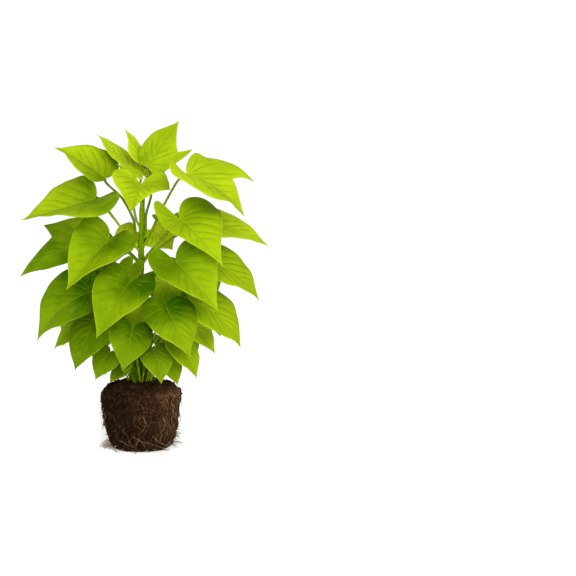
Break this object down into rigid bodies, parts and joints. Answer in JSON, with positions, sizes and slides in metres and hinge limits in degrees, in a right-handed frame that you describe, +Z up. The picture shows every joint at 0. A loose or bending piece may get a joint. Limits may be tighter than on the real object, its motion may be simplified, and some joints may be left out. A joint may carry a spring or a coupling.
{
  "type": "sweet potato vine",
  "caption": "Bushy lime-green sweet potato vine with heart-shaped leaves on thin stalks round one stem, standing on its bare, root-bound ball of soil.",
  "frame": {"origin": "centre of the root ball's flat underside, where the plant stands", "axes": "+Z up along the stem, +X to the right and -Y toward someone who looks at the front"},
  "size_m": [0.3083, 0.2366, 0.4001],
  "materials": {
    "young_leaf": "young leaf, bright yellow-lime, satin",
    "grown_leaf": "full-grown leaf, lime green, satin",
    "shaded_leaf": "shaded leaf, mid green, satin",
    "stem": "green fleshy stem, satin",
    "root_bound_soil": "dark brown soil held by fine tan roots, matt"
  },
  "bodies": {
    "root": {"root_ball": "root_bound_soil", "main_stem": "stem", "crown_leaf_1": "young_leaf", "crown_leaf_2": "young_leaf", "crown_leaf_3": "young_leaf", "crown_leaf_4": "young_leaf", "crown_leaf_5": "young_leaf", "shoulder_leaf_1": "young_leaf", "shoulder_leaf_2": "young_leaf", "shoulder_leaf_3": "young_leaf", "shoulder_leaf_4": "young_leaf", "shoulder_leaf_5": "young_leaf", "middle_leaf_1": "grown_leaf", "middle_leaf_2": "grown_leaf", "middle_leaf_3": "grown_leaf", "middle_leaf_4": "grown_leaf", "middle_leaf_5": "grown_leaf", "middle_leaf_6": "grown_leaf", "middle_leaf_7": "grown_leaf", "middle_leaf_8": "grown_leaf", "skirt_leaf_1": "shaded_leaf", "skirt_leaf_2": "shaded_leaf", "skirt_leaf_3": "shaded_leaf", "skirt_leaf_4": "shaded_leaf", "skirt_leaf_5": "shaded_leaf", "skirt_leaf_6": "shaded_leaf", "skirt_leaf_7": "shaded_leaf", "skirt_leaf_8": "shaded_leaf", "skirt_leaf_9": "shaded_leaf", "skirt_leaf_10": "shaded_leaf", "inner_leaf_1": "shaded_leaf", "inner_leaf_2": "shaded_leaf", "inner_leaf_3": "shaded_leaf", "inner_leaf_4": "shaded_leaf", "inner_leaf_5": "shaded_leaf", "inner_leaf_6": "shaded_leaf", "inner_leaf_7": "shaded_leaf", "inner_leaf_8": "shaded_leaf", "inner_leaf_9": "shaded_leaf", "inner_leaf_10": "shaded_leaf", "inner_leaf_11": "shaded_leaf", "inner_leaf_12": "shaded_leaf", "inner_leaf_13": "shaded_leaf", "inner_leaf_14": "shaded_leaf", "back_leaf_1": "shaded_leaf", "back_leaf_2": "shaded_leaf", "back_leaf_3": "shaded_leaf", "back_leaf_4": "shaded_leaf", "back_leaf_5": "shaded_leaf", "back_leaf_6": "shaded_leaf", "back_leaf_7": "shaded_leaf", "back_leaf_8": "shaded_leaf", "back_leaf_9": "shaded_leaf", "back_leaf_10": "shaded_leaf", "back_leaf_11": "shaded_leaf", "back_leaf_12": "shaded_leaf", "back_leaf_13": "shaded_leaf", "back_leaf_14": "shaded_leaf"}
  },
  "joints": []
}
